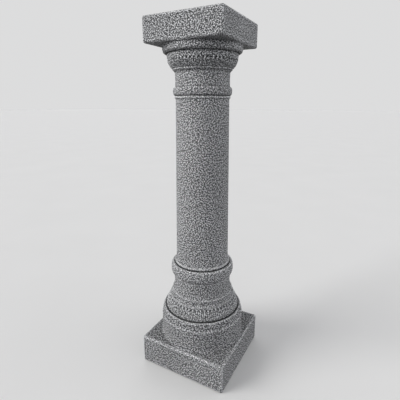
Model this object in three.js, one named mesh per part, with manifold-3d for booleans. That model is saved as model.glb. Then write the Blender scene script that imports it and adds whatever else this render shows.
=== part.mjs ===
// A garden column moulded in one piece with a speckled granite look: a square plinth, a turned base
// with a band of carved tongues, a plain tapering shaft, and a turned capital under a square abacus.
// Millimetres, +Z up, standing on Z = 0 with its axis on Z.
import * as THREE from "three";
import { RoundedBoxGeometry } from "three/addons/geometries/RoundedBoxGeometry.js";
import { mergeVertices } from "three/addons/utils/BufferGeometryUtils.js";
import Module from "manifold-3d";

const wasm = await Module();
wasm.setup();

// Overall height and the two square blocks.
const HEIGHT = 813;
const PLINTH_SIDE = 222;
const PLINTH_HEIGHT = 72;
const ABACUS_SIDE = 182;
const ABACUS_HEIGHT = 52;
const BLOCK_EDGE_RADIUS = 4.5;

// The shaft's radius just above the base and just below the capital.
const SHAFT_FOOT_RADIUS = 63.6;
const SHAFT_TOP_RADIUS = 59.6;

// The turned base, from the plinth up. Each height is that of one moulding.
const BASE = {
  drumRadius: 103,
  drumHeight: 56,
  flareWidth: 4,
  flareHeight: 9,
  ridgeStep: 2,
  ovoloHeight: 19,
  ovoloEndRadius: 96,
  echinusHeight: 27,
  echinusStartRadius: 91.5,
  echinusEndRadius: 80,
  echinusSwell: 0.8,
  tonguesStartShare: 0,
  filletHeight: 3,
  filletRadius: 80.5,
  cavettoHeight: 13,
  cavettoEndRadius: 76,
  neckHeight: 42.5,
  neckStartRadius: 75.2,
  neckRadius: 69.5,
  neckEndRadius: 70.5,
  torusHeight: 30.5,
  torusRadius: 77,
  ringHeight: 7,
  ringRadius: 67.5,
  curveHeight: 12,
  grooveDepth: 2.6,
};

// The turned capital, from the abacus down, with the same row of mouldings.
const CAPITAL = {
  drumRadius: 86.5,
  drumHeight: 10,
  flareWidth: 3,
  flareHeight: 3,
  ridgeStep: 0.4,
  ovoloHeight: 7.5,
  ovoloEndRadius: 80.5,
  echinusHeight: 28.5,
  echinusStartRadius: 77.5,
  echinusEndRadius: 67,
  echinusSwell: 2.5,
  tonguesStartShare: 0.28,
  filletHeight: 3,
  filletRadius: 65.5,
  cavettoHeight: 9,
  cavettoEndRadius: 61,
  neckHeight: 26,
  neckStartRadius: 60.6,
  neckRadius: 60,
  neckEndRadius: 60.6,
  torusHeight: 18,
  torusRadius: 65.4,
  ringHeight: 6,
  ringRadius: 62,
  curveHeight: 4,
  grooveDepth: 2.2,
};

// The carved band: how many tongues stand round it, how proud their backs and their upper edges stand,
// how deep the gaps between them are cut, and how many groove depths their ring is let into the slope.
const TONGUE_COUNT = 56;
const TONGUE_PROUD = 1.6;
const TONGUE_EDGE_PROUD = 0.8;
const TONGUE_GAP_DEPTH = 0.8;
const RING_BED_FACTOR = 1.5;

// Where along the band the tongues end, and where along a tongue its back is highest. The gaps start
// further from the drum, by a share of a tongue's length, which scallops the band's edge.
const TONGUES_END_SHARE = 0.94;
const TONGUE_PEAK_SHARE = 0.3;
const SCALLOP_SHARE = 0.16;

// How far up the shoulder and the lower half of the neck their curves bend most.
const OVOLO_BEND_SHARE = 2 / 3;
const NECK_BEND_SHARE = 1 / 3;

// How finely the round forms are faceted, and how far the turned ends reach into the blocks.
const SIDES = 42;
const CURVE_STEPS = 2;
const SIDES_PER_TONGUE = 3;
const BLOCK_EDGE_STEPS = 1;
const BEDDING = 3;

const shaftFoot = PLINTH_HEIGHT;
const shaftHead = HEIGHT - ABACUS_HEIGHT;

// A closed geometry becomes a solid once its shared corners are merged and its slivers dropped.
function solid(geometry) {
  geometry.deleteAttribute("normal");
  geometry.deleteAttribute("uv");
  const welded = mergeVertices(geometry, 1e-3);
  const corners = welded.index.array;
  const triangles = [];
  for (let i = 0; i < corners.length; i += 3) {
    const [a, b, c] = corners.slice(i, i + 3);
    if (a !== b && b !== c && c !== a) triangles.push(a, b, c);
  }
  const vertProperties = new Float32Array(welded.attributes.position.array);
  const triVerts = new Uint32Array(triangles);
  return new wasm.Manifold(new wasm.Mesh({ numProp: 3, vertProperties, triVerts }));
}

// A square block with rounded edges, standing with its underside at the given height.
function block(side, height, bottom) {
  const shape = new RoundedBoxGeometry(side, side, height, BLOCK_EDGE_STEPS, BLOCK_EDGE_RADIUS);
  shape.translate(0, 0, bottom + height / 2);
  return solid(shape);
}

// A point of one end's carved band, as radius and distance from the block: how far along the slope
// from the drum's side to the neck's side, and how far it is lifted off the slope's swelling surface.
function bandPoint(end, share, lift) {
  const start = end.drumHeight + end.ovoloHeight;
  const from = new THREE.Vector2(end.echinusStartRadius, start + end.grooveDepth / 2);
  const to = new THREE.Vector2(end.echinusEndRadius, start + end.echinusHeight);
  const slope = new THREE.Vector2().subVectors(to, from);
  const outward = new THREE.Vector2(slope.y, -slope.x).normalize();
  const swell = 4 * end.echinusSwell * share * (1 - share);
  return from.addScaledVector(slope, share).addScaledVector(outward, lift + swell);
}

// The outline of one end, as radius and distance from its block, from the block to the shaft.
function endOutline(end, shaftRadius) {
  const line = new THREE.Path();
  const ridge = end.drumRadius - end.ridgeStep;
  const grooveHalf = end.grooveDepth / 2;
  let height = 0;

  // The drum, with a hollow sweep where it meets the block.
  line.moveTo(end.drumRadius + end.flareWidth, height);
  line.quadraticCurveTo(end.drumRadius, height, end.drumRadius, height + end.flareHeight);
  height += end.drumHeight;
  line.lineTo(end.drumRadius, height - end.ridgeStep);

  // The rounded shoulder above the drum, and the groove that parts it from the carved band.
  line.lineTo(ridge, height);
  const ovoloBend = height + end.ovoloHeight * OVOLO_BEND_SHARE;
  height += end.ovoloHeight;
  line.quadraticCurveTo(ridge, ovoloBend, end.ovoloEndRadius, height - grooveHalf);
  line.lineTo(end.echinusStartRadius - end.grooveDepth, height);

  // The plain part of the carved band before the tongues, their bed, and the slope beyond them.
  const bandStart = bandPoint(end, 0, 0);
  const tonguesStart = bandPoint(end, end.tonguesStartShare, 0);
  const tonguesEnd = bandPoint(end, TONGUES_END_SHARE, 0);
  if (end.tonguesStartShare > 0) line.lineTo(bandStart.x, bandStart.y);
  if (end.tonguesStartShare > 0) line.lineTo(tonguesStart.x, tonguesStart.y);
  line.lineTo(tonguesEnd.x, tonguesEnd.y);
  height += end.echinusHeight;
  line.lineTo(end.echinusEndRadius, height);

  // A thin fillet, then a hollow that runs into the neck.
  line.lineTo(end.filletRadius, height);
  height += end.filletHeight;
  line.lineTo(end.filletRadius, height);
  line.quadraticCurveTo(
    end.cavettoEndRadius, height, end.cavettoEndRadius, height + end.cavettoHeight);
  height += end.cavettoHeight;

  // The neck, drawn in at its middle.
  const neckBend = height + end.neckHeight * NECK_BEND_SHARE;
  line.lineTo(end.neckStartRadius, height);
  line.quadraticCurveTo(end.neckRadius, neckBend, end.neckRadius, height + end.neckHeight / 2);
  line.lineTo(end.neckEndRadius, height + end.neckHeight);
  height += end.neckHeight;

  // The torus, a full round.
  const torusMiddle = height + end.torusHeight / 2;
  line.quadraticCurveTo(end.torusRadius, height, end.torusRadius, torusMiddle);
  height += end.torusHeight;
  line.quadraticCurveTo(end.torusRadius, height, end.neckEndRadius, height);

  // A groove, the thin ring beyond it, and the small sweep into the shaft.
  line.lineTo(end.ringRadius - end.grooveDepth, height + grooveHalf / 2);
  line.lineTo(end.ringRadius, height + grooveHalf);
  height += end.ringHeight;
  line.lineTo(end.ringRadius, height);
  line.quadraticCurveTo(shaftRadius, height, shaftRadius, height + end.curveHeight);
  return line.getPoints(CURVE_STEPS);
}

// Base, shaft and capital are one turned form, let into the blocks at both ends.
function turnedColumn() {
  const base = endOutline(BASE, SHAFT_FOOT_RADIUS);
  const capital = endOutline(CAPITAL, SHAFT_TOP_RADIUS);
  const outline = [
    new THREE.Vector2(0, shaftFoot - BEDDING),
    new THREE.Vector2(base[0].x, shaftFoot - BEDDING),
    ...base.map((point) => new THREE.Vector2(point.x, shaftFoot + point.y)),
    ...capital.map((point) => new THREE.Vector2(point.x, shaftHead - point.y)).reverse(),
    new THREE.Vector2(capital[0].x, shaftHead + BEDDING),
    new THREE.Vector2(0, shaftHead + BEDDING),
  ];
  const shape = new THREE.LatheGeometry(outline, SIDES);
  shape.rotateX(Math.PI / 2);
  return solid(shape);
}

// One end's carved band, a ring bedded in the slope. Its sides go round in threes, two that carry a
// tongue's flat back and one that runs along the gap to the next tongue.
function carvedBand(end, blockFace, direction) {
  const place = (share, lift) => {
    const point = bandPoint(end, share, lift);
    return new THREE.Vector2(point.x, blockFace + direction * point.y);
  };
  const along = (share) => THREE.MathUtils.lerp(end.tonguesStartShare, TONGUES_END_SHARE, share);
  const bed = -RING_BED_FACTOR * end.grooveDepth;
  const backs = [
    place(along(0), bed),
    place(along(0), TONGUE_EDGE_PROUD),
    place(along(TONGUE_PEAK_SHARE), TONGUE_PROUD),
    place(along(1), bed / 2),
  ];
  const gaps = [
    backs[0],
    place(along(SCALLOP_SHARE), -TONGUE_GAP_DEPTH),
    place(along(TONGUE_PEAK_SHARE + SCALLOP_SHARE), -TONGUE_GAP_DEPTH),
    backs[3],
  ];
  const rows = backs.length;
  const outline = [...backs, backs[0]];
  if (direction < 0) outline.reverse();
  const shape = new THREE.LatheGeometry(outline, TONGUE_COUNT * SIDES_PER_TONGUE);
  const corners = shape.attributes.position;
  for (let i = 0; i < corners.count; i += 1) {
    const side = Math.floor(i / (rows + 1));
    if (side % SIDES_PER_TONGUE !== 0) continue;
    const step = i % (rows + 1);
    const row = (direction < 0 ? rows - step : step) % rows;
    const scale = gaps[row].x / backs[row].x;
    corners.setXYZ(i, corners.getX(i) * scale, gaps[row].y, corners.getZ(i) * scale);
  }
  shape.rotateX(Math.PI / 2);
  return solid(shape);
}

// The whole moulding, joined to one closed body.
function columnGeometry() {
  const pieces = [
    block(PLINTH_SIDE, PLINTH_HEIGHT, 0),
    block(ABACUS_SIDE, ABACUS_HEIGHT, shaftHead),
    carvedBand(BASE, shaftFoot, 1),
    carvedBand(CAPITAL, shaftHead, -1),
  ];
  let whole = turnedColumn();
  for (const piece of pieces) whole = whole.add(piece);
  const mesh = whole.getMesh();
  const geometry = new THREE.BufferGeometry();
  geometry.setAttribute("position", new THREE.BufferAttribute(mesh.vertProperties, 3));
  geometry.setIndex(new THREE.BufferAttribute(mesh.triVerts, 1));
  return geometry;
}

const graniteLook = new THREE.MeshStandardMaterial({
  color: 0x808080,
  roughness: 0.85,
  metalness: 0,
});

const column = new THREE.Mesh(columnGeometry(), graniteLook);
column.name = "column";

const part = new THREE.Group();
part.add(column);

export default part;
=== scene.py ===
# %% [markdown]
# # A garden column with a granite look
# The real thing is a moulded garden ornament in one piece: a square plinth, a turned base with a carved
# band, a plain shaft that narrows upwards, and a capital under a square abacus. It is grey and finely
# speckled all over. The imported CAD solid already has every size, so the first step is to load it. It
# stays where it is, and one finer mesh will take its place, with soft edges, true grooves and carving.

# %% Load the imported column
import math
from types import SimpleNamespace

import bmesh
import bpy
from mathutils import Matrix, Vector
from mathutils.bvhtree import BVHTree


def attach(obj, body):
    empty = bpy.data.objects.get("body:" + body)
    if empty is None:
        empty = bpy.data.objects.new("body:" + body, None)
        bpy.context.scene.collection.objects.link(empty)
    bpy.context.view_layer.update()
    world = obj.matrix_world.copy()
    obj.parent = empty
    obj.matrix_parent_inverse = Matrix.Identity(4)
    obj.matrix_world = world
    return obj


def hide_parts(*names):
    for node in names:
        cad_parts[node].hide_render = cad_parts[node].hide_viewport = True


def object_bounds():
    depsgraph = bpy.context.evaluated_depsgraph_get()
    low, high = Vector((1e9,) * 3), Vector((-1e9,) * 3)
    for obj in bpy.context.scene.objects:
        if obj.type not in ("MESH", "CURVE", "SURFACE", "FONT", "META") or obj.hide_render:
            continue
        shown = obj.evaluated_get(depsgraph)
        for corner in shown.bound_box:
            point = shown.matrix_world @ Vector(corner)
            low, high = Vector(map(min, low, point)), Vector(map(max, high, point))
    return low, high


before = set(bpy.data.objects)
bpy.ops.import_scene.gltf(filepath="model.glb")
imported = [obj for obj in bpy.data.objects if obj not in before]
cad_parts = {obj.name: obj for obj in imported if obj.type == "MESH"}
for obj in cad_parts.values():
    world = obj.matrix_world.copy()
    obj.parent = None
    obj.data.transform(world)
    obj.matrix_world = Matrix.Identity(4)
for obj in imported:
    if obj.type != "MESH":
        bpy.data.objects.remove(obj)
CAD_LOW, CAD_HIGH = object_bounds()
print("CAD box, metres:", list(CAD_LOW), list(CAD_HIGH))

# %% [markdown]
# ## The sizes
# All sizes are those of the CAD solid, in millimetres. The overall height and the plinth's side come from
# the frame itself. Base and capital carry the same row of mouldings, so both are written as one list of
# names with two sets of values, each height counted from the block that the end stands against.

# %% Sizes of the blocks, the shaft and the two turned ends
MM = 0.001
HEIGHT = (CAD_HIGH.z - CAD_LOW.z) / MM
PLINTH_SIDE = (CAD_HIGH.x - CAD_LOW.x) / MM
PLINTH_HEIGHT = 72
ABACUS_SIDE = 182
ABACUS_HEIGHT = 52
BLOCK_EDGE_RADIUS = 4.5
SHAFT_FOOT_RADIUS = 63.6
SHAFT_TOP_RADIUS = 59.6

BASE = SimpleNamespace(
    face=PLINTH_HEIGHT, direction=1,
    drum_radius=103, drum_height=56, flare_width=4, flare_height=9, ridge_step=2,
    ovolo_height=19, ovolo_end_radius=96,
    band_height=27, band_start_radius=91.5, band_end_radius=80, band_swell=0.8,
    tongues_start=0, spandrel_depth=1.3,
    fillet_height=3, fillet_radius=80.5, cavetto_height=13, cavetto_end_radius=76,
    neck_height=42.5, neck_start_radius=75.2, neck_radius=69.5, neck_end_radius=70.5,
    torus_height=30.5, torus_radius=77, ring_height=7, ring_radius=67.5,
    curve_height=12, groove_depth=2.6, quirk=1.6, hollow_share=0.2, pits_first=False,
    shaft_radius=SHAFT_FOOT_RADIUS,
)
CAPITAL = SimpleNamespace(
    face=HEIGHT - ABACUS_HEIGHT, direction=-1,
    drum_radius=86.5, drum_height=10, flare_width=3, flare_height=3, ridge_step=0.4,
    ovolo_height=7.5, ovolo_end_radius=80.5,
    band_height=28.5, band_start_radius=77.5, band_end_radius=67, band_swell=2.5,
    tongues_start=0.28, spandrel_depth=0,
    fillet_height=3, fillet_radius=65.5, cavetto_height=9, cavetto_end_radius=61,
    neck_height=26, neck_start_radius=60.6, neck_radius=60, neck_end_radius=60.6,
    torus_height=18, torus_radius=65.4, ring_height=6, ring_radius=62,
    curve_height=4, groove_depth=2.2, quirk=0.3, hollow_share=0.7, pits_first=True,
    shaft_radius=SHAFT_TOP_RADIUS,
)
print(f"column {HEIGHT:.0f} mm high on a plinth {PLINTH_SIDE:.0f} mm wide")

# %% [markdown]
# ## The outline
# A turned form is an outline swept round an axis, so the whole look of base and capital lies in that one
# line. It is drawn as corners and quadratic curves, as a carpenter draws a moulding. No edge of a casting
# is truly sharp, and a sharp edge catches no light, so every corner is then swapped for a short curve.
# A row of points beside each curve keeps the flat next to it flat when the surface is shaded smooth. On
# a long flat there is one more row a few millimetres on, where the highlight painted on the edge will have
# faded out.

# %% Helpers that draw an outline
CURVE_STEPS = 7
CORNER_STEPS = 3
CORNER_SOFTNESS = 1.5
CORNER_SHARE = 0.4
HOLD_FACTOR = 1.25
# Rows this far from each edge let the painted edge highlight fade out.
HIGHLIGHT_STRIP = 4.5


def curve(start, bend, end, steps):
    """Points of a quadratic curve from start to end, both of them included."""
    shares = [i / steps for i in range(steps + 1)]
    return [start * (1 - t) ** 2 + bend * 2 * t * (1 - t) + end * t**2 for t in shares]


def with_highlight_rows(line):
    """The line with a point a strip's width from both ends of each long straight."""
    rows = [line[0]]
    for start, end in zip(line, line[1:]):
        length = (end - start).length
        if length > 2 * HIGHLIGHT_STRIP:
            rows += [start.lerp(end, HIGHLIGHT_STRIP / length), end.lerp(start, HIGHLIGHT_STRIP / length)]
        elif length > HIGHLIGHT_STRIP:
            rows.append(start.lerp(end, 0.5))
        rows.append(end)
    return rows


class Outline:
    """A line in radius and height. Its corners are softened when its points are read."""

    def __init__(self, radius, height):
        self.stops = [(Vector((radius, height)), 0)]

    def corner(self, radius, height, softness=CORNER_SOFTNESS):
        self.stops.append((Vector((radius, height)), softness))

    def bend(self, bend, end, softness=0, steps=CURVE_STEPS):
        points = curve(self.stops[-1][0], Vector(bend), Vector(end), steps)
        self.stops += [(point, 0) for point in points[1:-1]]
        self.stops.append((points[-1], softness))

    def points(self):
        line = [self.stops[0][0]]
        for (before, _), (here, softness), (after, _) in zip(self.stops, self.stops[1:], self.stops[2:]):
            back, ahead = before - here, after - here
            reach = min(softness, CORNER_SHARE * back.length, CORNER_SHARE * ahead.length)
            if reach == 0:
                line.append(here)
                continue
            back, ahead = back.normalized() * reach, ahead.normalized() * reach
            line.append(here + back * HOLD_FACTOR)
            line += curve(here + back, here, here + ahead, CORNER_STEPS)
            line.append(here + ahead * HOLD_FACTOR)
        return with_highlight_rows(line + [self.stops[-1][0]])


# %% [markdown]
# ## One end of the column
# From its block inwards, an end has a drum with a hollow foot, a rounded shoulder, a dark groove, the
# carved band, a thin fillet, a hollow, a neck, a full round torus, another groove and a thin ring. The
# band is left as a straight slope here, in many rows, because its carving is worked into those rows later.

# %% Draw the outline of the base and of the capital
BAND_ROWS = 32
OVOLO_BEND = 2 / 3
NECK_BEND = 1 / 3
SLOT_DEPTH = 3.2
HOLLOW_DEPTH = 3


def band_ends(end):
    """Where the carved band starts and ends, in radius and distance from the block."""
    start = end.drum_height + end.ovolo_height
    from_point = Vector((end.band_start_radius, start + end.groove_depth / 2))
    return from_point, Vector((end.band_end_radius, start + end.band_height))


def end_outline(end):
    """The softened outline of one end, from its block to the shaft."""
    ridge = end.drum_radius - end.ridge_step
    half = end.groove_depth / 2
    foot = end.drum_radius + end.flare_width
    line = Outline(foot, 0)
    line.bend((end.drum_radius, 0), (end.drum_radius, end.flare_height))
    height = end.drum_height
    line.corner(end.drum_radius, height - end.ridge_step)
    line.corner(ridge - end.quirk / 2, height)
    line.bend((ridge, height + end.ovolo_height * OVOLO_BEND),
              (end.ovolo_end_radius, height + end.ovolo_height - half), softness=CORNER_SOFTNESS)
    height += end.ovolo_height
    band_from, band_to = band_ends(end)
    line.corner(band_from.x - end.quirk / 2, band_from.y - half - SLOT_DEPTH)
    for row in range(BAND_ROWS + 1):
        line.corner(*band_from.lerp(band_to, row / BAND_ROWS), softness=0)
    height += end.band_height
    line.corner(end.fillet_radius, height)
    height += end.fillet_height
    line.corner(end.fillet_radius, height)
    line.corner(end.fillet_radius - end.quirk, height)
    line.bend((end.cavetto_end_radius - HOLLOW_DEPTH, height + end.cavetto_height * end.hollow_share),
              (end.cavetto_end_radius, height + end.cavetto_height), softness=CORNER_SOFTNESS)
    height += end.cavetto_height
    line.corner(end.neck_start_radius - end.quirk, height + end.quirk)
    line.bend((end.neck_radius, height + end.neck_height * NECK_BEND),
              (end.neck_radius, height + end.neck_height / 2))
    height += end.neck_height
    line.corner(end.neck_end_radius, height - end.quirk)
    line.corner(end.neck_end_radius - end.quirk, height)
    middle = height + end.torus_height / 2
    line.bend((end.torus_radius, height), (end.torus_radius, middle))
    height += end.torus_height
    line.bend((end.torus_radius, height), (end.neck_end_radius, height))
    line.corner(end.ring_radius - end.groove_depth, height)
    line.corner(end.ring_radius, height + half)
    height += end.ring_height
    line.corner(end.ring_radius, height)
    line.corner(end.shaft_radius + end.quirk / 2, height + end.quirk / 2)
    line.bend((end.shaft_radius, height + end.quirk), (end.shaft_radius, height + end.curve_height))
    return line.points()


base_line = end_outline(BASE)
capital_line = end_outline(CAPITAL)
print(f"outline of the base: {len(base_line)} points, of the capital: {len(capital_line)}")

# %% [markdown]
# ## The turned body
# The outline is laid in a bmesh as a chain of edges from axis to axis and spun round Z. use_merge welds
# the last side to the first, and merging doubles closes the two poles. Two sides to a tongue are plenty
# for a plain round. Spin may turn a shape inside out, so its normals are recalculated. Every vertex keeps
# how far along the outline it lies, because the stone pattern will be laid out along that line.

# %% Spin the outline
TONGUES = 56
SIDES = TONGUES * 2
BEDDING = 3
SHAFT_ROWS = 16
WELD = 1e-6


def upright(end, point):
    """A point of an end's outline, as metres in the plane of X and Z."""
    return Vector((point.x, 0, end.face + end.direction * point.y)) * MM


def spun_body(name):
    low = [upright(BASE, point) for point in base_line]
    high = [upright(CAPITAL, point) for point in reversed(capital_line)]
    shaft = [low[-1].lerp(high[0], row / SHAFT_ROWS) for row in range(1, SHAFT_ROWS)]
    foot = low[0] - Vector((0, 0, BEDDING * MM))
    head = high[-1] + Vector((0, 0, BEDDING * MM))
    chain = [Vector((0, 0, foot.z)), foot, *low, *shaft, *high, head, Vector((0, 0, head.z))]
    body = bmesh.new()
    run = body.verts.layers.float.new("run")
    verts = [body.verts.new(point) for point in chain]
    for before, vert in zip(verts, verts[1:]):
        vert[run] = before[run] + (vert.co - before.co).length
    edges = [body.edges.new(pair) for pair in zip(verts, verts[1:])]
    bmesh.ops.spin(body, geom=verts + edges, cent=(0, 0, 0), axis=(0, 0, 1), angle=2 * math.pi,
                   steps=SIDES, use_merge=True)
    bmesh.ops.remove_doubles(body, verts=body.verts, dist=WELD)
    bmesh.ops.recalc_face_normals(body, faces=body.faces)
    print(f"{name}: {len(chain)} rows, {len(body.faces)} faces")
    return body


turned = spun_body("turned body")

# %% [markdown]
# ## Finer rows for the carving
# A tongue is only about 10 mm wide, so two sides to a tongue are far too coarse for carving. Only the
# two bands get more: the level edges there are cut again. Everything else stays light.

# %% Cut the bands finer
BAND_CUTS = 7
LEVEL = 1e-7
FIRST_ROW = -0.5 / BAND_ROWS
LAST_ROW = 1 - 0.5 / BAND_ROWS


def band_share(end, height):
    """How far along an end's carved band a height in metres lies, from 0 to 1."""
    band_from, band_to = band_ends(end)
    distance = end.direction * (height / MM - end.face)
    return (distance - band_from.y) / (band_to.y - band_from.y)


def in_band(end, height):
    """True on all of a band's rows but the last, which the fillet's level edge shares."""
    return FIRST_ROW < band_share(end, height) < LAST_ROW


def level_edges(body, end):
    found = []
    for edge in body.edges:
        low, high = (vert.co.z for vert in edge.verts)
        if abs(low - high) < LEVEL and in_band(end, low):
            found.append(edge)
    return found


for end in (BASE, CAPITAL):
    bmesh.ops.subdivide_edges(turned, edges=level_edges(turned, end), cuts=BAND_CUTS, use_grid_fill=True)
print(f"with finer bands: {len(turned.faces)} faces, {SIDES // TONGUES * (BAND_CUTS + 1)} to a tongue")

# %% [markdown]
# ## Carve the bands
# Each motif is an arched bay with a rounded tongue in it. Its round end lies on the drum's side, and a
# small pit is drilled between two tongues on the neck's side. On the base the bays run right up to the
# groove, which scallops its edge. On the capital the same motif stands the other way round. Such relief
# is easiest as a height over the unrolled band: how far across its pitch a point lies, and how many
# pitches along. Every vertex of the band is lifted off the slope by that height, along the slope's own
# normal.

# %% Lift the bands' vertices into tongues, walls and pits
BAY_DEPTH = 1.1
WALL_PROUD = 0.5
TONGUE_PROUD = 1.9
PIT_DEPTH = 2.4
BAY_RADIUS = 0.41
WALL_SLOPE = 0.09
TONGUE_RADIUS = 0.3
PIT_RADIUS = 0.3
PIT_INSET = 0.42
TONGUES_END = 0.96
END_RAMP = 0.1


def ease(value, low, high):
    """0 below low, 1 above high and a smooth ramp between."""
    share = min(max((value - low) / (high - low), 0), 1)
    return share * share * (3 - 2 * share)


def dome(distance, radius):
    """A round back: 1 in the middle and 0 from the radius outwards."""
    return math.sqrt(max(1 - (distance / radius) ** 2, 0))


def carving(across, along, length, spandrel_depth):
    """Height of the relief in mm. Across and along are counted in pitches from a bay's rounded end."""
    arch = BAY_RADIUS + WALL_SLOPE
    from_spine = math.hypot(across, min(along - arch, 0))
    inside = 1 - ease(from_spine, BAY_RADIUS - WALL_SLOPE, BAY_RADIUS)
    outside = ease(from_spine, BAY_RADIUS + WALL_SLOPE, BAY_RADIUS + 2 * WALL_SLOPE)
    tongue_end = length - TONGUE_RADIUS
    from_tongue = math.hypot(across, along - min(max(along, arch), tongue_end))
    from_pit = math.hypot(0.5 - abs(across), along - length + PIT_INSET)
    height = WALL_PROUD * (1 - inside) * (1 - outside) - BAY_DEPTH * inside - spandrel_depth * outside
    height += TONGUE_PROUD * dome(from_tongue, TONGUE_RADIUS)
    height -= PIT_DEPTH * (1 - ease(from_pit, PIT_RADIUS / 2, PIT_RADIUS))
    return height * (1 - ease(along, length - END_RAMP, length))


def carve(body, end):
    band_from, band_to = band_ends(end)
    slope = band_to - band_from
    outward = Vector((slope.y, -slope.x)).normalized()
    middle_radius = (band_from.x + band_to.x) / 2
    pitch = 2 * math.pi * middle_radius / TONGUES
    length = (TONGUES_END - end.tongues_start) * slope.length / pitch
    moved = 0
    for vert in body.verts:
        if not in_band(end, vert.co.z):
            continue
        share = band_share(end, vert.co.z)
        angle = math.atan2(vert.co.y, vert.co.x)
        turns = angle / (2 * math.pi) * TONGUES
        across = turns - round(turns)
        along = (share - end.tongues_start) * slope.length / pitch
        lift = 4 * end.band_swell * share * (1 - share)
        if along >= 0 and along < length:
            from_arch = length - along if end.pits_first else along
            lift += carving(across, from_arch, length, end.spandrel_depth)
        point = band_from + slope * share + outward * lift
        vert.co = (point.x * MM * math.cos(angle), point.x * MM * math.sin(angle),
                   (end.face + end.direction * point.y) * MM)
        moved += 1
    print(f"carved {moved} vertices, pitch {pitch:.1f} mm, bays {length * pitch:.1f} mm long")


carve(turned, BASE)
carve(turned, CAPITAL)

# %% [markdown]
# ## Plinth and abacus
# Both blocks are cubes with rounded edges. A bevel rounds the edges, and a narrow inset on each flat face
# holds it flat, for the same reason as the rows beside the outline's corners. A second, wider inset lets
# the highlight painted on the edges, which is stored at the vertices further on, fade out within a few
# millimetres.

# %% Make the two blocks
EDGE_STEPS = 5
HOLD_STRIP = 1.5


def block(side, height, bottom):
    """A square block with rounded edges, standing at the given height."""
    body = bmesh.new()
    bmesh.ops.create_cube(body, size=1)
    bmesh.ops.scale(body, verts=body.verts, vec=Vector((side, side, height)) * MM)
    bmesh.ops.translate(body, verts=body.verts, vec=Vector((0, 0, bottom + height / 2)) * MM)
    bmesh.ops.bevel(body, geom=list(body.edges), offset=BLOCK_EDGE_RADIUS * MM, offset_type="OFFSET",
                    segments=EDGE_STEPS, profile=0.5, affect="EDGES", material=-1)
    largest = sorted(body.faces, key=lambda face: face.calc_area())[-6:]
    for strip in (HOLD_STRIP, HIGHLIGHT_STRIP):
        bmesh.ops.inset_individual(body, faces=largest, thickness=strip * MM)
    return body


plinth = block(PLINTH_SIDE, PLINTH_HEIGHT, 0)
abacus = block(ABACUS_SIDE, ABACUS_HEIGHT, HEIGHT - ABACUS_HEIGHT)
print(f"plinth: {len(plinth.faces)} faces, abacus: {len(abacus.faces)} faces")

# %% [markdown]
# ## One casting
# The real column has no seam, so the three forms become one closed surface. A Boolean modifier in union
# mode joins them exactly, and the result is read back as a plain mesh. Smooth shading follows, with a
# crease where two faces meet at a steep angle, and round both drums' feet, so that their rounding doesn't
# shade the blocks' flat faces. Every edge must have two faces, which the cell counts.

# %% Join the forms to one closed mesh
CREASE = math.radians(50)
FOOT_GAP = 0.3


def as_object(body, name):
    mesh = bpy.data.meshes.new(name)
    body.to_mesh(mesh)
    body.free()
    made = bpy.data.objects.new(name, mesh)
    bpy.context.scene.collection.objects.link(made)
    return made


def joined(name, main, others):
    for other in others:
        union = main.modifiers.new("union", "BOOLEAN")
        union.operation = "UNION"
        union.solver = "EXACT"
        union.object = other
    graph = bpy.context.evaluated_depsgraph_get()
    mesh = bpy.data.meshes.new_from_object(main.evaluated_get(graph))
    for part in (main, *others):
        bpy.data.objects.remove(part)
    mesh.name = name
    made = bpy.data.objects.new(name, mesh)
    bpy.context.scene.collection.objects.link(made)
    return made


def crease_feet(made):
    """Marks the ring of edges where each drum's foot meets its block."""
    marked = 0
    for edge in made.data.edges:
        for end in (BASE, CAPITAL):
            foot = Vector((end.drum_radius + end.flare_width, end.face)) * MM
            places = [made.data.vertices[i].co for i in edge.vertices]
            gaps = [(Vector((math.hypot(at.x, at.y), at.z)) - foot).length for at in places]
            if max(gaps) < FOOT_GAP * MM:
                edge.use_edge_sharp = True
                marked += 1
    print(f"creased {marked} edges round the drums' feet")


column = joined("column_cast", as_object(turned, "turned"),
                [as_object(plinth, "plinth"), as_object(abacus, "abacus")])
column.data.shade_smooth()
column.data.set_sharp_from_angle(angle=CREASE)
crease_feet(column)
edges_left = bmesh.new()
edges_left.from_mesh(column.data)
open_edges = sum(len(edge.link_faces) != 2 for edge in edges_left.edges)
triangles = sum(len(face.verts) - 2 for face in edges_left.faces)
edges_left.free()
print(f"{column.name}: {triangles} triangles, {open_edges} edges without exactly two faces")

# %% [markdown]
# ## Hollows and edges
# The material paints shade into grooves and hollows and paints a highlight onto edges, and rays find both:
# every vertex looks out along a fan of rays, and each ray that soon meets the column again counts as
# shelter. The same fan turned inwards finds edges, because there it soon comes out again. Both shares are
# stored as attributes, for the material to read.

# %% Measure shelter and exposure at each vertex
RAYS = 16
SHELTER_REACH = 12
EXPOSURE_REACH = 6
LIFT_OFF = 0.15


def fan(count):
    """Directions over the half ball round Z, spread by the golden angle."""
    turn = math.pi * (3 - math.sqrt(5))
    rays = []
    for i in range(count):
        radius = math.sqrt((i + 0.5) / count)
        rays.append(Vector((radius * math.cos(i * turn), radius * math.sin(i * turn),
                            math.sqrt(1 - radius * radius))))
    return rays


def store_nearness(made, name, reach, side):
    """Looks outwards with side 1 and inwards with side -1. Reach is in millimetres."""
    body = bmesh.new()
    body.from_mesh(made.data)
    tree = BVHTree.FromBMesh(body)
    rays = fan(RAYS)
    values = []
    for vert in body.verts:
        away = vert.normal * side
        start = vert.co + away * LIFT_OFF * MM
        aim = away.to_track_quat("Z", "Y").to_matrix()
        total = 0
        for ray in rays:
            distance = tree.ray_cast(start, aim @ ray, reach * MM)[3]
            if distance is not None:
                total += 1 - distance / MM / reach
        values.append(total / RAYS)
    body.free()
    layer = made.data.attributes.new(name, "FLOAT", "POINT")
    layer.data.foreach_set("value", values)
    print(f"{name}: mean {sum(values) / len(values):.2f}, most {max(values):.2f}")


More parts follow.
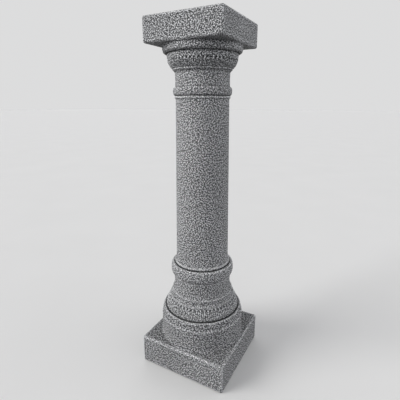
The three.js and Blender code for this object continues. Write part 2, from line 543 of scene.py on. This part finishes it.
# shelter drives the shade painted into hollows, exposure the highlight painted onto edges
store_nearness(column, "shelter", SHELTER_REACH, 1)
store_nearness(column, "exposure", EXPOSURE_REACH, -1)

# %% [markdown]
# ## The surface laid out flat
# The speckle must be as fine and even everywhere as if it were sprayed on. A pattern that fills space
# clumps where a surface cuts through it, so the pattern is a flat one, on the column's own UV map. The map
# is in metres: round the column and along the outline on the turned parts, and straight on for the
# blocks. The way round grows with the radius, which is rounded to steps so that the map doesn't shear.
# The map is stretched a little at the foot and shrunk on the abacus, because the grain measures slightly
# coarser there and finer here. That is a match of numbers, not something known about the casting.

# %% Lay out the column's own UV map
RADIUS_STEP = 12
FACE_GAP = 0.05
FOOT_TOP = BASE.face + BASE.drum_height + BASE.ovolo_height + BASE.band_height
FOOT_STRETCH = 1.15
HEAD_STRETCH = 0.95


def store_layout(made, name):
    mesh = made.data
    run = mesh.attributes["run"].data
    layer = mesh.uv_layers.new(name=name)
    for face in mesh.polygons:
        centre = face.center
        on_block = centre.z < (BASE.face + FACE_GAP) * MM or centre.z > (CAPITAL.face - FACE_GAP) * MM
        steepest = max(range(3), key=lambda axis: abs(face.normal[axis]))
        across, along = [axis for axis in range(3) if axis != steepest]
        middle = math.atan2(centre.y, centre.x)
        radius = round(math.hypot(centre.x, centre.y) / MM / RADIUS_STEP) * RADIUS_STEP * MM
        if centre.z < FOOT_TOP * MM:
            stretch = FOOT_STRETCH
        else:
            stretch = HEAD_STRETCH if on_block else 1
        for loop, vert in zip(face.loop_indices, face.vertices):
            place = mesh.vertices[vert].co
            if on_block:
                flat = Vector((place[across], place[along]))
            else:
                turn = math.atan2(place.y, place.x) - middle
                turn = (turn + math.pi) % (2 * math.pi) - math.pi
                flat = Vector(((middle + turn) * radius, run[vert].value))
            layer.data[loop].uv = flat / stretch
    longest = max(vertex.value for vertex in run)
    print(f"{name}: laid out {len(mesh.polygons)} faces, {longest:.3f} m along the outline")


store_layout(column, "layout")

# %% [markdown]
# ## The granite look
# The finish is a matt grey body full of small dark and pale grains. They are set to 2 to 3 mm, about the
# smallest that a picture of this size can show, so the real ones may be finer. From a few steps away it
# looks evenly grey with a fine sparkle, so the pattern may have no large blotches. A Noise texture in two
# dimensions and without detail has waves of just one size, and a ramp over it turns them into dark and
# pale grains. It is turned, so that its grid doesn't run along the blocks' edges, and a second noise twice
# as fine breaks the grains up.

# %% Build the speckle as a node group
GRAIN_SPACING = 0.0024
GRAIN_TILT = (0.0, 0.0, 0.5)
GRAIN_TONES = ((0.38, 0.01), (0.5, 0.135), (0.62, 0.8))
FINE_SHARE = 0.33
FINE_FACTOR = 2.0


def add(tree, kind, place, **values):
    """Adds a node and sets the named properties and, by number or name, its input sockets."""
    node = tree.nodes.new(kind)
    node.location = place
    for key, value in values.items():
        if key == "inputs":
            for socket, setting in value.items():
                node.inputs[socket].default_value = setting
        else:
            setattr(node, key, value)
    return node


def grey_ramp(tree, place, tones):
    """A colour ramp from one grey to the next."""
    ramp = add(tree, "ShaderNodeValToRGB", place)
    while len(ramp.color_ramp.elements) < len(tones):
        ramp.color_ramp.elements.new(1)
    for stop, (position, grey) in zip(ramp.color_ramp.elements, tones):
        stop.position = position
        stop.color = (grey, grey, grey, 1)
    return ramp


def speckle_group():
    tree = bpy.data.node_groups.new("granite_speckle", "ShaderNodeTree")
    face = tree.interface
    face.new_socket("Position", in_out="INPUT", socket_type="NodeSocketVector")
    face.new_socket("Spacing", in_out="INPUT", socket_type="NodeSocketFloat")
    face.new_socket("Color", in_out="OUTPUT", socket_type="NodeSocketColor")
    face.new_socket("Height", in_out="OUTPUT", socket_type="NodeSocketFloat")
    source = add(tree, "NodeGroupInput", (-900, 0))
    result = add(tree, "NodeGroupOutput", (700, 0))
    scale = add(tree, "ShaderNodeMath", (-700, -200), operation="DIVIDE", inputs={0: 1.0})
    finer = add(tree, "ShaderNodeMath", (-520, -200), operation="MULTIPLY", inputs={1: FINE_FACTOR})
    tilt = add(tree, "ShaderNodeMapping", (-700, 200), inputs={"Rotation": GRAIN_TILT})
    grains = add(tree, "ShaderNodeTexNoise", (-300, 200), noise_dimensions="2D", inputs={"Detail": 0.0})
    fine = add(tree, "ShaderNodeTexNoise", (-300, -100), noise_dimensions="2D", inputs={"Detail": 0.0})
    both = add(tree, "ShaderNodeMix", (-50, 100), data_type="FLOAT", inputs={0: FINE_SHARE})
    ramp = grey_ramp(tree, (250, 150), GRAIN_TONES)
    link = tree.links.new
    link(source.outputs["Spacing"], scale.inputs[1])
    link(scale.outputs[0], finer.inputs[0])
    link(source.outputs["Position"], tilt.inputs["Vector"])
    link(tilt.outputs[0], grains.inputs["Vector"])
    link(tilt.outputs[0], fine.inputs["Vector"])
    link(scale.outputs[0], grains.inputs["Scale"])
    link(finer.outputs[0], fine.inputs["Scale"])
    link(grains.outputs[0], both.inputs[2])
    link(fine.outputs[0], both.inputs[3])
    link(both.outputs[0], ramp.inputs[0])
    link(ramp.outputs["Color"], result.inputs["Color"])
    link(both.outputs[0], result.inputs["Height"])
    return tree


speckle = speckle_group()
print("group", speckle.name, "puts out", [item.name for item in speckle.interface.items_tree])

# %% [markdown]
# ## Painted shade, painted highlights and a faint cloud
# Over the even speckle, shade is painted into hollows and a highlight onto edges, the highlight stronger
# low down than high up. Flat ledges, undersides and the foot get painted shade as well, because they looked
# a little darker than this light alone makes them. Grime, rubbing, dust, damp and soil would do that, but
# nobody has looked at the real surface, so these are guesses, and their strengths were set by eye and by
# measuring renders until the tones agreed. Shelter and exposure come from the attributes stored above. Each
# mask is a Map Range node, and the darkening ones are multiplied. A faint cloud of tone varies at random.

# %% Masks for painted shade and painted highlights
# Painted shade in grooves and hollows: the more sheltered a vertex, the darker its colour.
SHELTER_RANGE = (0.08, 0.4)
SHELTER_SHADE = 0.18
# Edges found by the exposure attribute get a painted highlight, weaker higher up.
EXPOSURE_RANGE = (0.005, 0.11)
HIGHLIGHT_HEIGHTS = (0.3, 0.62)
HIGHLIGHT_SHARE_ABOVE = 0.5
# Upward-facing ledges get painted shade.
LEDGE_SLOPES = (0.8, 1.0)
LEDGE_SHADE = 0.75
# Downward-facing undersides get painted shade, for the little light that comes from below.
UNDERSIDE_SLOPES = (-0.7, -0.1)
UNDERSIDE_SHADE = 0.65
# Painted shade on the foot, below the base's torus, for light that falls off towards the ground.
FOOT_SHADE_HEIGHTS = (0.2, 0.235)
FOOT_SHADE = 0.86
CLOUD_WAVES = {"Scale": 9.0, "Detail": 3.0}
CLOUD_RANGE = (0.3, 0.7)
CLOUD_TONES = (0.9, 1.1)


def mapped(tree, place, value, span, tones):
    """A Map Range node that turns the values of a span into tones."""
    node = add(tree, "ShaderNodeMapRange", place, inputs={
        "From Min": span[0], "From Max": span[1], "To Min": tones[0], "To Max": tones[1]})
    tree.links.new(value, node.inputs["Value"])
    return node.outputs[0]


def product(tree, place, first, second):
    node = add(tree, "ShaderNodeMath", place, operation="MULTIPLY")
    tree.links.new(first, node.inputs[0])
    tree.links.new(second, node.inputs[1])
    return node.outputs[0]


def painted_shade_and_cloud(tree, place, height, slope):
    """How much of its brightness the surface keeps under painted shade, by shelter, slope and height, times
    a faint random cloud.
    """
    # The shelter attribute paints shade into the hollows.
    shelter = add(tree, "ShaderNodeAttribute", (-1300, -400), attribute_name="shelter")
    hollow_shade = mapped(tree, (-1000, -350), shelter.outputs["Fac"], SHELTER_RANGE, (1.0, SHELTER_SHADE))
    ledge = mapped(tree, (-1000, -950), slope, LEDGE_SLOPES, (1.0, LEDGE_SHADE))
    underside = mapped(tree, (-1000, -1250), slope, UNDERSIDE_SLOPES, (UNDERSIDE_SHADE, 1.0))
    foot_shade = mapped(tree, (-1000, -1500), height, FOOT_SHADE_HEIGHTS, (FOOT_SHADE, 1.0))
    level = product(tree, (-800, -1050), ledge, underside)
    # All the painted shade together: hollows, ledges, undersides and foot.
    painted_shade = product(tree, (-750, -400), hollow_shade, product(tree, (-800, -1250), level, foot_shade))
    cloud = add(tree, "ShaderNodeTexNoise", (-1000, -100), inputs=CLOUD_WAVES)
    tree.links.new(place, cloud.inputs["Vector"])
    return product(tree, (-550, -250),
                   mapped(tree, (-800, -100), cloud.outputs[0], CLOUD_RANGE, CLOUD_TONES), painted_shade)


def painted_edge_highlight(tree, height):
    """Where a highlight is painted onto the edges, from 0 to 1, weaker high up."""
    exposure = add(tree, "ShaderNodeAttribute", (-1300, -650), attribute_name="exposure")
    highlight_mask = mapped(tree, (-1000, -650), exposure.outputs["Fac"], EXPOSURE_RANGE, (0.0, 1.0))
    highlight_fade = mapped(tree, (-1000, -1750), height, HIGHLIGHT_HEIGHTS, (1.0, HIGHLIGHT_SHARE_ABOVE))
    return product(tree, (-850, -650), highlight_mask, highlight_fade)


print("darkest hollow keeps", SHELTER_SHADE, "of its light, an underside", UNDERSIDE_SHADE)

# %% [markdown]
# ## The granite material
# On the edges a highlight is painted: the speckle's colour is lifted and blended towards a pale grey. The
# painted shade and the faint cloud then scale it. Pale grains are a little smoother than dark ones, and the
# grains' height goes into a Bump node. The shader itself stays in the material.

# %% Mix the granite material
# EDGE_LIGHT, EDGE_SHARE and the highlight colour paint a highlight onto the edges.
EDGE_LIGHT = 1.9
EDGE_SHARE = 0.3
HIGHLIGHT_COLOR = (0.62, 0.62, 0.61, 1.0)
SPECULAR_LEVEL = 0.35
ROUGH_RANGE = (0.0, 0.6)
ROUGHNESS = (0.9, 0.7)
GRAIN_BUMP = {"Strength": 0.35, "Distance": 0.0005}


def highlighted_color(tree, color, edge_highlight):
    """The speckle's colour, lifted and blended towards a pale grey where a highlight is painted on the
    edges.
    """
    link = tree.links.new
    lift = mapped(tree, (-900, 350), edge_highlight, (0.0, 1.0), (1.0, EDGE_LIGHT))
    lighter = add(tree, "ShaderNodeVectorMath", (-750, 250), operation="SCALE")
    share = add(tree, "ShaderNodeMath", (-750, 50), operation="MULTIPLY", inputs={1: EDGE_SHARE})
    highlighted = add(tree, "ShaderNodeMix", (-550, 150), data_type="RGBA", clamp_result=True,
               inputs={7: HIGHLIGHT_COLOR})
    link(color, lighter.inputs[0])
    link(lift, lighter.inputs["Scale"])
    link(edge_highlight, share.inputs[0])
    link(share.outputs[0], highlighted.inputs[0])
    link(lighter.outputs[0], highlighted.inputs[6])
    return highlighted.outputs[2]


def granite():
    material = bpy.data.materials.new("granite_look_resin")
    material.use_nodes = True
    tree = material.node_tree
    link = tree.links.new
    shader = tree.nodes["Principled BSDF"]
    shader.inputs["Specular IOR Level"].default_value = SPECULAR_LEVEL
    layout = add(tree, "ShaderNodeUVMap", (-1300, 250), uv_map="layout")
    grains = add(tree, "ShaderNodeGroup", (-1000, 200), node_tree=speckle)
    grains.inputs["Spacing"].default_value = GRAIN_SPACING
    link(layout.outputs["UV"], grains.inputs["Position"])
    place = add(tree, "ShaderNodeTexCoord", (-1300, 0)).outputs["Object"]
    height = add(tree, "ShaderNodeSeparateXYZ", (-1150, -1500))
    link(place, height.inputs[0])
    surface = add(tree, "ShaderNodeNewGeometry", (-1300, -950))
    slope = add(tree, "ShaderNodeSeparateXYZ", (-1150, -950))
    link(surface.outputs["Normal"], slope.inputs[0])
    edge_highlight = painted_edge_highlight(tree, height.outputs["Z"])
    color = add(tree, "ShaderNodeVectorMath", (-350, 150), operation="SCALE")
    link(highlighted_color(tree, grains.outputs["Color"], edge_highlight), color.inputs[0])
    link(painted_shade_and_cloud(tree, place, height.outputs["Z"], slope.outputs["Z"]), color.inputs["Scale"])
    link(color.outputs[0], shader.inputs["Base Color"])
    rough = mapped(tree, (-350, -50), grains.outputs["Color"], ROUGH_RANGE, ROUGHNESS)
    link(rough, shader.inputs["Roughness"])
    bump = add(tree, "ShaderNodeBump", (-350, -300), inputs=GRAIN_BUMP)
    link(grains.outputs["Height"], bump.inputs["Height"])
    link(bump.outputs[0], shader.inputs["Normal"])
    return material


column.data.materials.clear()
column.data.materials.append(granite())
print("material", column.data.materials[0].name)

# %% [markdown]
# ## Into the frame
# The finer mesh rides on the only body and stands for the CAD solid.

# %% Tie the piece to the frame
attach(column, "root")
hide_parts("column")

# %% [markdown]
# ## The studio
# The light is soft, comes from the left and has little bounce from below. So the key is a sun lamp as wide
# as a softbox, and the sky is brightest low down and weak below the horizon. A pale floor would throw far
# more light up than dark ground does, so the floor is left out of the bounced rays. Two weak suns keep the
# far sides readable. A sun lights the floor evenly up to the horizon, and what the camera sees behind it
# has the same tone, so no line shows there.

# %% Floor, sky and lights
FLOOR_HALF = 40.0
SKY_COLOR = (0.93, 0.95, 1.0, 1.0)
SKY_LIGHT = 0.95
ZENITH_SHARE = 0.35
GROUND_LIGHT = 0.22
BACKDROP_COLOR = (0.719, 0.720, 0.723, 1.0)
HORIZON_SPAN = (-0.1, 0.1)
ROOF_SPAN = (0.1, 0.8)
FLOOR_TONES = ((0.8, 0.79, 0.77, 1), (0.84, 0.83, 0.81, 1))
FLOOR_WAVES = {"Scale": 3.0, "Detail": 4.0}
FLOOR_ROUGHNESS = 0.9
# Each sun's name, the direction it comes from, its width in degrees and its strength.
SUNS = (
    ("key_light", (-1.6, -1.6, 1.2), 35, 1.85),
    ("back_light", (1.6, 0.6, 1.3), 60, 0.38),
    ("rear_light", (-1.2, 1.6, 1.0), 60, 0.4),
)


def pale_floor():
    body = bmesh.new()
    bmesh.ops.create_grid(body, x_segments=1, y_segments=1, size=FLOOR_HALF)
    floor = as_object(body, "floor")
    material = bpy.data.materials.new("pale_floor")
    material.use_nodes = True
    tree = material.node_tree
    place = add(tree, "ShaderNodeTexCoord", (-900, 0))
    cloud = add(tree, "ShaderNodeTexNoise", (-700, 0), inputs=FLOOR_WAVES)
    ramp = add(tree, "ShaderNodeValToRGB", (-450, 0))
    for stop, tone in zip(ramp.color_ramp.elements, FLOOR_TONES):
        stop.color = tone
    tree.links.new(place.outputs["Object"], cloud.inputs["Vector"])
    tree.links.new(cloud.outputs[0], ramp.inputs[0])
    tree.links.new(ramp.outputs["Color"], tree.nodes["Principled BSDF"].inputs["Base Color"])
    tree.nodes["Principled BSDF"].inputs["Roughness"].default_value = FLOOR_ROUGHNESS
    floor.data.materials.append(material)
    floor.visible_diffuse = False
    return floor


def soft_sun(name, came_from, width, strength):
    """A sun lamp that shines from a direction, as wide in the sky as the angle in degrees."""
    lamp = bpy.data.lights.new(name, "SUN")
    lamp.angle = math.radians(width)
    lamp.energy = strength
    made = bpy.data.objects.new(name, lamp)
    made.location = came_from
    made.rotation_euler = Vector(came_from).to_track_quat("Z", "Y").to_euler()
    bpy.context.scene.collection.objects.link(made)


def pale_sky():
    world = bpy.data.worlds.new("pale_sky")
    world.use_nodes = True
    tree = world.node_tree
    light = tree.nodes["Background"]
    light.inputs["Color"].default_value = SKY_COLOR
    link = tree.links.new
    way = add(tree, "ShaderNodeTexCoord", (-900, 0))
    parts = add(tree, "ShaderNodeSeparateXYZ", (-700, 0))
    link(way.outputs["Generated"], parts.inputs[0])
    up = parts.outputs["Z"]
    fade = mapped(tree, (-500, 0), up, HORIZON_SPAN, (GROUND_LIGHT, SKY_LIGHT))
    roof = mapped(tree, (-500, -250), up, ROOF_SPAN, (1.0, ZENITH_SHARE))
    link(product(tree, (-350, 0), fade, roof), light.inputs["Strength"])
    seen = add(tree, "ShaderNodeBackground", (-200, -200), inputs={"Color": BACKDROP_COLOR})
    path = add(tree, "ShaderNodeLightPath", (-200, 300))
    both = add(tree, "ShaderNodeMixShader", (50, 0))
    link(path.outputs["Is Camera Ray"], both.inputs[0])
    link(light.outputs[0], both.inputs[1])
    link(seen.outputs[0], both.inputs[2])
    link(both.outputs[0], tree.nodes["World Output"].inputs["Surface"])
    return world


floor = pale_floor()
for sun in SUNS:
    soft_sun(*sun)
bpy.context.scene.world = pale_sky()
bpy.context.scene.view_settings.view_transform = "Standard"

# %% [markdown]
# ## The camera
# The camera looks down a little at the column's front left face and its right side, from just outside
# arm's reach. The lens is short for so near a view, which is why the plinth's corners splay.

# %% Place the camera
SENSOR_WIDTH = 36
CAMERA_PLACE = (0.3611, -0.6708, 0.6398)
CAMERA_TILT = 75.5
CAMERA_TURN = 28.72
LENS = 29.68
SHIFT_Y = -0.025

camera_data = bpy.data.cameras.new("camera")
camera_data.sensor_width = SENSOR_WIDTH
camera_data.lens = LENS
camera_data.shift_y = SHIFT_Y
camera = bpy.data.objects.new("camera", camera_data)
camera.location = CAMERA_PLACE
camera.rotation_euler = (math.radians(CAMERA_TILT), 0, math.radians(CAMERA_TURN))
bpy.context.scene.collection.objects.link(camera)
bpy.context.scene.camera = camera
print("camera at", [round(value, 3) for value in camera.location])
